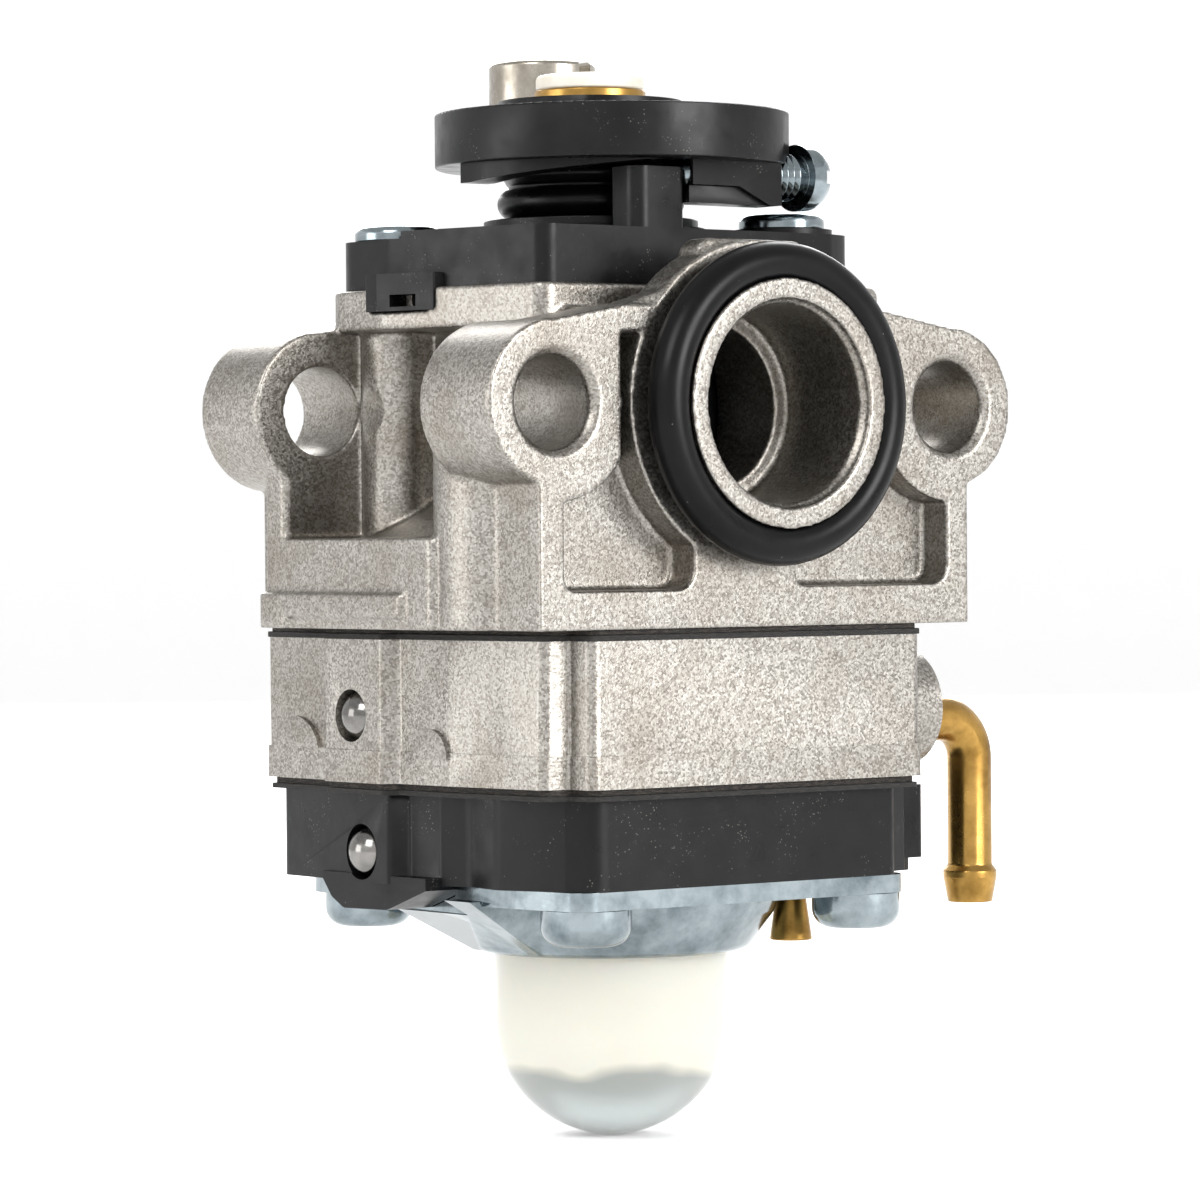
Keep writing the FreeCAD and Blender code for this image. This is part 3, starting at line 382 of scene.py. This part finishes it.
@dataclass(frozen=True)
class FibreSheet(Finish):
    """Pressed fibre or coated cloth, cut to shape: dull, with fibres along its cut edge."""

    colour: str = "120f0d"
    fleck: str = "4a423a"

    def paint(self, tree: bpy.types.NodeTree, where: bpy.types.NodeSocket,
              shader: bpy.types.Node) -> None:
        """Fibres drawn out in the plane of the sheet."""
        flat = add_node(tree, "ShaderNodeMapping", {"Vector": where, "Scale": (1.0, 1.0, 6.0)})
        fibres = self.noise(tree, flat.outputs["Vector"], 0.5, 4.0, 0.7)
        skin = ramp(tree, fibres, [(0.45, linear(self.colour)), (0.75, linear(self.fleck))])
        tree.links.new(skin, shader.inputs["Base Color"])
        shader.inputs["Roughness"].default_value = 0.8
        tree.links.new(self.relief(tree, fibres, 0.06, 0.8), shader.inputs["Normal"])


@dataclass(frozen=True)
class ClearPolyurethane(Finish):
    """Outer skin of the bulb: clear, glossy polyurethane."""

    colour: str = "ffffff"

    def paint(self, tree: bpy.types.NodeTree, where: bpy.types.NodeSocket,
              shader: bpy.types.Node) -> None:
        """Clear and glossy, with slow ripples of the mould."""
        shader.inputs["Base Color"].default_value = linear(self.colour)
        shader.inputs["Roughness"].default_value = 0.08
        shader.inputs["IOR"].default_value = 1.49
        shader.inputs["Transmission Weight"].default_value = 0.9
        tree.links.new(self.relief(tree, self.noise(tree, where, 3.0, 2.0), 0.05, 0.3),
                       shader.inputs["Normal"])


@dataclass(frozen=True)
class MilkyPolyurethane(Finish):
    """Inner skin of the bulb, gone milky: cream above, cool grey towards the tip."""

    cream: str = "fffbea"
    cool: str = "a0a9a9"
    split_z: float = -40.9 * MM
    wave_height: float = 3.0 * MM
    span: float = 1.6 * MM

    def paint(self, tree: bpy.types.NodeTree, where: bpy.types.NodeSocket,
              shader: bpy.types.Node) -> None:
        """A wavy border parts the cream wall from the cool tip."""
        height = add_node(tree, "ShaderNodeSeparateXYZ", {"Vector": where}).outputs["Z"]
        wave = self.noise(tree, where, 7.0, 2.0)
        wavy = add_node(tree, "ShaderNodeMath", {0: wave, 1: self.wave_height, 2: height},
                        operation="MULTIPLY_ADD").outputs[0]
        middle = self.split_z + self.wave_height / 2
        share = add_node(tree, "ShaderNodeMapRange",
                         {"Value": wavy, "From Min": middle - self.span,
                          "From Max": middle + self.span}).outputs[0]
        skin = ramp(tree, share, [(0.40, linear(self.cool)), (0.60, linear(self.cream))])
        tree.links.new(skin, shader.inputs["Base Color"])
        clear = ramp(tree, share, [(0.40, grey(0.55)), (0.60, grey(0.10))])
        tree.links.new(clear, shader.inputs["Transmission Weight"])
        shader.inputs["Roughness"].default_value = 0.45
        shader.inputs["IOR"].default_value = 1.2
        shader.inputs["Subsurface Weight"].default_value = 0.6
        shader.inputs["Subsurface Radius"].default_value = (3 * MM, 2.6 * MM, 2 * MM)
        shader.inputs["Subsurface Scale"].default_value = 1.0


@dataclass(frozen=True)
class NaturalNylon(Finish):
    """Unfilled nylon, moulded: warm white and waxy."""

    colour: str = "e6e2d8"

    def paint(self, tree: bpy.types.NodeTree, where: bpy.types.NodeSocket,
              shader: bpy.types.Node) -> None:
        """Waxy white with slight yellowing."""
        cloud = self.noise(tree, where, 2.5, 3.0)
        skin = ramp(tree, cloud, [(0.3, linear("d3cdbf")), (0.65, linear(self.colour))])
        tree.links.new(skin, shader.inputs["Base Color"])
        shader.inputs["Roughness"].default_value = 0.42
        shader.inputs["Subsurface Weight"].default_value = 0.3
        shader.inputs["Subsurface Radius"].default_value = (1.2 * MM, 1.0 * MM, 0.8 * MM)
        shader.inputs["Subsurface Scale"].default_value = 1.0
        tree.links.new(self.relief(tree, self.noise(tree, where, 0.4), 0.01, 0.3),
                       shader.inputs["Normal"])


def all_finishes() -> dict[Slot, bpy.types.Material]:
    """Make the material of every slot."""
    recipes = {
        Slot.CAST: CastAluminium("tumbled_cast_aluminium"),
        Slot.PLASTIC: MouldedPlastic("moulded_glass_filled_nylon"),
        Slot.GASKET: FibreSheet("gasket_fibre"),
        Slot.FILM: FibreSheet("coated_diaphragm_cloth", "0d0c0b", "2e2a27"),
        Slot.ZINC: PlatedSteel("bright_zinc_plate"),
        Slot.STEEL: PlatedSteel("ground_steel", "8b8986", "565452", 0.12),
        Slot.NICKEL: TurnedMetal("turned_nickel_plate", "a7a197", "7f786d", 0.2),
        Slot.BRASS: TurnedMetal("turned_brass"),
        Slot.RUBBER: MouldedRubber("moulded_nitrile_rubber"),
        Slot.BULB: ClearPolyurethane("clear_polyurethane"),
        Slot.NYLON: NaturalNylon("natural_nylon"),
        Slot.RIVET: PlatedSteel("stamped_aluminium", "cfcfcd", "a3a3a0", 0.25),
    }
    return {slot: recipe.make() for slot, recipe in recipes.items()}


# ---- shop: makes pieces and fits them to the frame ----------------------------------------------
@dataclass
class Shop:
    """Holds the frame and the finishes, and turns meshes into pieces of the object."""

    frame: dict[str, Any]
    finishes: dict[Slot, bpy.types.Material]

    def body_of(self, node: str) -> str:
        """Name of the body that a CAD node belongs to."""
        return self.frame["nodes"][node]["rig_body"]

    def slot_of(self, node: str) -> Slot:
        """Material slot that the record gives a CAD node."""
        rows = self.frame["record"]["subparts"]
        return next(Slot(row["material_slot"]) for row in rows if row["node"] == node)

    def dress_node(self, node: str) -> None:
        """Give a carried-over CAD node its finish."""
        mesh = self.frame["nodes"][node].data
        mesh.materials.clear()
        mesh.materials.append(self.finishes[self.slot_of(node)])

    def piece(self, name: str, bm: bmesh.types.BMesh, node: str, crease: float = 40.0,
              body: str = "") -> bpy.types.Object:
        """Turn a bmesh into a piece that stands for a CAD node.

        Args:
            name: Name of the piece.
            bm: Its geometry, in the frame of the CAD model; it is freed.
            node: The CAD node that it replaces.
            crease: Edges sharper than this many degrees stay sharp.
            body: Body to ride on, in place of the node's; "free" leaves the piece unparented.

        Returns:
            The new object.
        """
        mesh = bpy.data.meshes.new(name)
        bm.to_mesh(mesh)
        bm.free()
        mesh.shade_smooth()
        mesh.set_sharp_from_angle(angle=math.radians(crease))
        thing = bpy.data.objects.new(name, mesh)
        bpy.context.scene.collection.objects.link(thing)
        slot = self.slot_of(node)
        mesh.materials.append(self.finishes[slot])
        if body != "free":
            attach(thing, body or self.body_of(node))
        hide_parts(node)
        LOG.info("%s stands for %s", name, node)
        return thing

    def merged_copy(self, node: str) -> bmesh.types.BMesh:
        """Copy of a CAD node's mesh with its triangles joined into whole faces."""
        bm = bmesh.new()
        bm.from_mesh(self.frame["nodes"][node].data)
        bmesh.ops.remove_doubles(bm, verts=bm.verts, dist=0.002 * MM)
        bmesh.ops.dissolve_limit(bm, angle_limit=math.radians(0.6), verts=bm.verts, edges=bm.edges)
        return bm

    def eased(self, node: str, width_mm: float, segments: int = 2) -> bpy.types.Object:
        """Replace a CAD node by a copy whose edges are rounded.

        Args:
            node: The CAD node.
            width_mm: Width of the rounding.
            segments: Faces across the rounding.

        Returns:
            The new piece.
        """
        thing = self.piece(f"{node}_eased", self.merged_copy(node), node)
        bevel = thing.modifiers.new("edge_rounding", "BEVEL")
        bevel.width = width_mm * MM
        bevel.segments = segments
        bevel.limit_method = "ANGLE"
        bevel.angle_limit = math.radians(32)
        bevel.use_clamp_overlap = True
        bevel.harden_normals = True
        return thing

    def tumbled(self, node: str, voxel_mm: float, passes: int, keep: float) -> bpy.types.Object:
        """Replace a cast CAD node by a copy whose edges are worn round all over.

        Args:
            node: The CAD node.
            voxel_mm: Size of the grid that the skin is remade on.
            passes: Smoothing passes; more of them wear the edges further.
            keep: Share of the triangles that is kept afterwards.

        Returns:
            The new piece.
        """
        thing = self.piece(f"{node}_tumbled", self.merged_copy(node), node, 180.0)
        remesh = thing.modifiers.new("even_skin", "REMESH")
        remesh.mode = "VOXEL"
        remesh.voxel_size = voxel_mm * MM
        remesh.use_smooth_shade = True
        smooth = thing.modifiers.new("worn_edges", "SMOOTH")
        smooth.factor = 0.5
        smooth.iterations = passes
        thin = thing.modifiers.new("fewer_faces", "DECIMATE")
        thin.ratio = keep
        return thing


def lathe(profile: list[tuple[float, float]], steps: int, centre: Vector, axis: Vector,
          across: Vector) -> bmesh.types.BMesh:
    """Spin a profile a full turn.

    Args:
        profile: Points as radius and distance along the axis; closed if its ends meet.
        steps: Faces round the turn.
        centre: Zero point of the axis.
        axis: Direction of the axis.
        across: Direction of the radius at the start.

    Returns:
        The closed shape, with its faces outwards.
    """
    bm = bmesh.new()
    points = [bm.verts.new(centre + across * radius + axis * along) for radius, along in profile]
    edges = [bm.edges.new(pair) for pair in zip(points, points[1:])]
    bmesh.ops.spin(bm, geom=points + edges, cent=centre, axis=axis, angle=math.tau, steps=steps,
                   use_merge=True)
    bmesh.ops.remove_doubles(bm, verts=bm.verts, dist=0.003 * MM)
    bmesh.ops.recalc_face_normals(bm, faces=bm.faces)
    return bm


def arc(centre: tuple[float, float], radius: float, start: float, end: float,
        count: int) -> list[tuple[float, float]]:
    """Points along an arc, from start to end in degrees."""
    angles = [math.radians(start + (end - start) * i / count) for i in range(count + 1)]
    return [(centre[0] + radius * math.cos(a), centre[1] + radius * math.sin(a)) for a in angles]


# ---- sub-assemblies -----------------------------------------------------------------------------
@dataclass
class CastBodies:
    """The two aluminium castings and the seal on the intake spigot."""

    voxel_mm: float = 0.16
    passes: int = 6
    kept_share: float = 0.22
    ring_steps: int = 120

    def build(self, shop: Shop) -> None:
        """Make the castings and the O-ring."""
        shop.tumbled("main_body", self.voxel_mm, self.passes, self.kept_share)
        shop.eased("metering_body", 0.22, 3)
        self.spigot_ring(shop)

    def spigot_ring(self, shop: Shop) -> None:
        """O-ring with the faint moulding ridge round its outside."""
        low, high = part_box("spigot_o_ring")
        wire = (high.y - low.y) / 2
        centre = (low + high) / 2
        ring = (high.x - low.x) / 2 - wire
        ridge = 0.015 * MM
        profile = arc((ring, 0.0), wire - ridge, 4, 356, 30)
        profile += [(ring + wire, 0.0), profile[0]]
        bm = lathe(profile, self.ring_steps, centre, Vector((0, 1, 0)), Vector((1, 0, 0)))
        shop.piece("spigot_o_ring_moulded", bm, "spigot_o_ring", 60.0)


@dataclass
class ThrottleSide:
    """Cover, lever, gaiter, screws and the pieces that move above the main body."""

    thread_pitch: float = 0.5 * MM
    thread_depth: float = 0.27 * MM
    thread_radius: float = 1.5 * MM
    head_length: float = 2.0 * MM
    gaiter_bore: float = 4.0 * MM

    def build(self, shop: Shop) -> None:
        """Make what shows above the main body."""
        for node, width in (("throttle_cover", 0.22), ("throttle_lever", 0.22),
                            ("lever_cam", 0.05), ("cover_screws", 0.16), ("cable_swivel", 0.16),
                            ("mixture_sleeve", 0.12), ("limiter_cap", 0.15),
                            ("boot_washer", 0.08), ("throttle_barrel", 0.12)):
            shop.eased(node, width)
        self.idle_screw(shop)
        self.gaiter(shop)
        self.return_spring(shop)

    def return_spring(self, shop: Shop) -> None:
        """Coil that is squeezed between the cover and the barrel as the barrel rises."""
        coil = shop.piece("return_spring_coil", shop.merged_copy("return_spring"),
                          "return_spring", 60.0, "free")
        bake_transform(coil)

    def idle_screw(self, shop: Shop) -> None:
        """Idle screw with its rolled thread and slotted dome head."""
        low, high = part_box("idle_speed_screw")
        seat = high.x - self.head_length
        axis = Vector((0.0, (low.y + high.y) / 2, (low.z + high.z) / 2))
        bm = shop.merged_copy("idle_speed_screw")
        cut = bmesh.ops.bisect_plane(bm, geom=bm.verts[:] + bm.edges[:] + bm.faces[:],
                                     plane_co=(seat - 0.02 * MM, 0, 0), plane_no=(1, 0, 0),
                                     clear_inner=True)
        rim = [e for e in cut["geom_cut"] if isinstance(e, bmesh.types.BMEdge)]
        bmesh.ops.holes_fill(bm, edges=rim, sides=0)
        root, crest = self.thread_radius - self.thread_depth, self.thread_radius
        tip_radius, taper, lead_in = 0.55 * MM, 0.7 * MM, 0.8 * MM
        turns = int((seat - low.x - lead_in) / self.thread_pitch)
        profile = [(0.0, low.x), (tip_radius, low.x), (root, low.x + taper)]
        for i in range(turns):
            start = low.x + lead_in + i * self.thread_pitch
            profile += [(root, start), (crest, start + self.thread_pitch * 0.42),
                        (crest, start + self.thread_pitch * 0.58)]
        profile += [(root, seat - 0.1 * MM), (root, seat), (0.0, seat)]
        thread = lathe(profile, 40, axis, Vector((1, 0, 0)), Vector((0, 0, 1)))
        mesh = bpy.data.meshes.new("thread")
        thread.to_mesh(mesh)
        thread.free()
        bm.from_mesh(mesh)
        bpy.data.meshes.remove(mesh)
        screw = shop.piece("idle_screw_threaded", bm, "idle_speed_screw", 35.0)
        bevel = screw.modifiers.new("edge_rounding", "BEVEL")
        bevel.width, bevel.segments = 0.08 * MM, 2
        bevel.limit_method, bevel.angle_limit = "ANGLE", math.radians(55)

    def gaiter(self, shop: Shop) -> None:
        """Rubber gaiter with one deep fold between its two ends."""
        low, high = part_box("dust_boot")
        centre = Vector(((low.x + high.x) / 2, (low.y + high.y) / 2, low.z))
        height, outer, inner = high.z - low.z, (high.x - low.x) / 2, self.gaiter_bore
        belly, fold, shoulder = height * 0.33, height * 0.62, height * 0.85
        foot, belly_radius = outer - 1.1 * MM, 0.95 * MM
        fold_radius, shoulder_radius = 0.25 * MM, 0.4 * MM
        profile = [(inner, 0.0), (foot, 0.0)]
        profile += arc((outer - belly_radius, belly), belly_radius, -60, 60, 8)
        profile += arc((outer - 0.5 * MM, fold), fold_radius, 250, 110, 6)
        profile += arc((outer - 0.75 * MM, shoulder), shoulder_radius, -50, 80, 6)
        profile += [(inner, height), (inner, 0.0)]
        bm = lathe(profile, 72, centre, Vector((0, 0, 1)), Vector((1, 0, 0)))
        boot = shop.piece("dust_boot_folded", bm, "dust_boot", 60.0, "free")
        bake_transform(boot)


@dataclass
class FuelSide:
    """Lower black body, gaskets, fittings and the plate under them."""

    squeezed: float = 0.78

    def build(self, shop: Shop) -> None:
        """Make what shows below the castings."""
        for node, width in (("purge_body", 0.2), ("retainer_plate", 0.16),
                            ("retainer_screws", 0.2), ("fuel_inlet_elbow", 0.08),
                            ("return_fitting", 0.06), ("pump_gasket", 0.05),
                            ("pump_diaphragm", 0.05), ("metering_gasket", 0.05)):
            shop.eased(node, width)
        for node in ("metering_plug_ball", "purge_plug_ball", "cam_ball"):
            self.ball(shop, node)
        self.lever_spring(shop)

    def lever_spring(self, shop: Shop) -> None:
        """Small coil that the metering lever squeezes against the roof of its pocket."""
        coil = shop.piece("lever_spring_coil", shop.merged_copy("lever_spring"),
                          "lever_spring", 60.0)
        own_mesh(coil)

    def ball(self, shop: Shop, node: str) -> None:
        """Ground steel ball."""
        low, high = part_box(node)
        bm = bmesh.new()
        bmesh.ops.create_uvsphere(bm, u_segments=48, v_segments=24, radius=(high.z - low.z) / 2)
        bmesh.ops.translate(bm, verts=bm.verts, vec=(low + high) / 2)
        shop.piece(f"{node}_ground", bm, node)


@dataclass
class Primer:
    """Soft bulb that is squeezed to fill the carburetor."""

    radius: float = 7.4 * MM
    wall: float = 0.9 * MM
    lip: float = 8.8 * MM
    lip_height: float = 1.2 * MM
    milky_share: float = 0.6
    pressed: float = 0.63

    def build(self, shop: Shop) -> None:
        """Make the bulb, clear outside and milky inside; its rim rides on the root body."""
        low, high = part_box("primer_bulb")
        centre = Vector(((low.x + high.x) / 2, (low.y + high.y) / 2, low.z + self.radius))
        rim = high.z - centre.z
        seat = rim - self.lip_height
        inner = self.radius - self.wall
        profile = arc((0.0, 0.0), self.radius, -90, 0, 30)
        profile += [(self.radius, seat), (self.lip, seat), (self.lip, rim), (inner, rim),
                    (inner, 0.0)]
        profile += arc((0.0, 0.0), inner, 0, -90, 26)[1:]
        bm = lathe(profile, 96, centre, Vector((0, 0, 1)), Vector((1, 0, 0)))
        for face in bm.faces:
            middle = face.calc_center_median() - centre
            reach = middle.length if middle.z < 0 else math.hypot(middle.x, middle.y)
            face.material_index = int(reach < self.radius - self.wall * self.milky_share)
        bulb = shop.piece("primer_bulb_moulded", bm, "primer_bulb", 50.0, "root")
        bulb.data.materials.append(MilkyPolyurethane("milky_polyurethane").make())
        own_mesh(bulb)


# Nodes inside the closed stack, which keep the shape of the CAD model.
HIDDEN_NODES = ("metering_diaphragm", "diaphragm_rivet", "primer_check_valve", "inlet_screen",
                "inlet_needle", "metering_lever", "lever_pin", "pin_screw", "spring_washer",
                "swivel_clip", "metering_needle", "main_nozzle", "nozzle_o_ring", "main_jet")


# ---- studio -------------------------------------------------------------------------------------
@dataclass(frozen=True)
class Lamp:
    """A soft box that faces the object."""

    name: str
    place: tuple[float, float, float]
    side: float
    watts: float


@dataclass
class Studio:
    """Pale cove, soft boxes and the camera."""

    eye: tuple[float, float, float] = (-0.196934, -0.235884, -0.007619)
    yaw: float = 38.036
    pitch: float = -0.771
    roll: float = -0.433
    lens_mm: float = 152.37
    sensor_mm: float = 36.0
    cove_radius: float = 1.6
    cove_height: float = 0.9
    cove_sweep: float = 0.5
    paper: float = 0.82
    glow: float = 0.22
    sky: float = 0.72
    aim: tuple[float, float, float] = (0.0, 0.015, -0.010)
    lamps: tuple[Lamp, ...] = (
        Lamp("key_box", (-0.50, -0.22, 0.40), 0.30, 2.3),
        Lamp("front_box", (0.16, -0.60, 0.16), 0.28, 3.7),
        Lamp("back_box", (0.35, 0.50, 0.35), 0.50, 5.0),
        Lamp("left_box", (-0.55, 0.25, 0.05), 0.30, 1.0),
    )

    def build(self) -> None:
        """Set the whole stage."""
        bpy.context.scene.view_settings.view_transform = "Standard"
        self.camera()
        self.cove()
        self.world()
        for lamp in self.lamps:
            self.light(lamp)

    def camera(self) -> None:
        """Camera at the left front corner, level with the body."""
        data = bpy.data.cameras.new("camera")
        data.sensor_width = self.sensor_mm
        data.lens = self.lens_mm
        data.clip_start, data.clip_end = 0.01, 10.0
        camera = bpy.data.objects.new("camera", data)
        bpy.context.scene.collection.objects.link(camera)
        yaw, pitch = math.radians(self.yaw), math.radians(self.pitch)
        forward = Vector((math.sin(yaw) * math.cos(pitch), math.cos(yaw) * math.cos(pitch),
                          math.sin(pitch)))
        turn = forward.to_track_quat("-Z", "Y").to_matrix().to_4x4()
        camera.matrix_world = (Matrix.Translation(self.eye) @ turn
                               @ Matrix.Rotation(math.radians(self.roll), 4, "Z"))
        bpy.context.scene.camera = camera

    def cove(self) -> None:
        """Round floor that sweeps up into a wall."""
        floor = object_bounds()[0].z
        sweep = self.cove_sweep
        bend = arc((self.cove_radius - sweep, sweep), sweep, -90, 0, 16)
        profile = [(0.0, 0.0), *bend, (self.cove_radius, self.cove_height)]
        bm = lathe(profile, 96, Vector((0, 0, floor)), Vector((0, 0, 1)), Vector((1, 0, 0)))
        bmesh.ops.reverse_faces(bm, faces=bm.faces)
        mesh = bpy.data.meshes.new("cove")
        bm.to_mesh(mesh)
        bm.free()
        mesh.shade_smooth()
        cove = bpy.data.objects.new("cove", mesh)
        bpy.context.scene.collection.objects.link(cove)
        material = bpy.data.materials.new("pale_paper")
        material.use_nodes = True
        shader = material.node_tree.nodes["Principled BSDF"]
        shader.inputs["Base Color"].default_value = grey(self.paper)
        shader.inputs["Emission Color"].default_value = grey(1.0)
        shader.inputs["Emission Strength"].default_value = self.glow
        shader.inputs["Roughness"].default_value = 0.8
        mesh.materials.append(material)
        cove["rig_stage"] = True

    def world(self) -> None:
        """Even pale sky."""
        world = bpy.data.worlds.new("sky")
        world.use_nodes = True
        background = world.node_tree.nodes["Background"]
        background.inputs["Color"].default_value = linear("ffffff")
        background.inputs["Strength"].default_value = self.sky
        bpy.context.scene.world = world

    def light(self, lamp: Lamp) -> None:
        """Hang one soft box and turn it to the object."""
        data = bpy.data.lights.new(lamp.name, "AREA")
        data.shape = "SQUARE"
        data.size = lamp.side
        data.energy = lamp.watts
        box = bpy.data.objects.new(lamp.name, data)
        bpy.context.scene.collection.objects.link(box)
        place = Vector(lamp.place)
        turn = (Vector(self.aim) - place).to_track_quat("-Z", "Y").to_matrix().to_4x4()
        box.matrix_world = Matrix.Translation(place) @ turn


def main() -> None:
    """Load the frame, build every sub-assembly and set the stage."""
    logging.basicConfig(level=logging.INFO, format="%(name)s: %(message)s")
    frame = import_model()
    Studio().build()
    shop = Shop(frame, all_finishes())
    for assembly in (CastBodies(), ThrottleSide(), FuelSide(), Primer()):
        assembly.build(shop)
        LOG.info("%s is built", type(assembly).__name__)
    for node in HIDDEN_NODES:
        shop.dress_node(node)
        LOG.info("%s keeps its CAD shape", node)


if __name__ == "__main__":
    main()
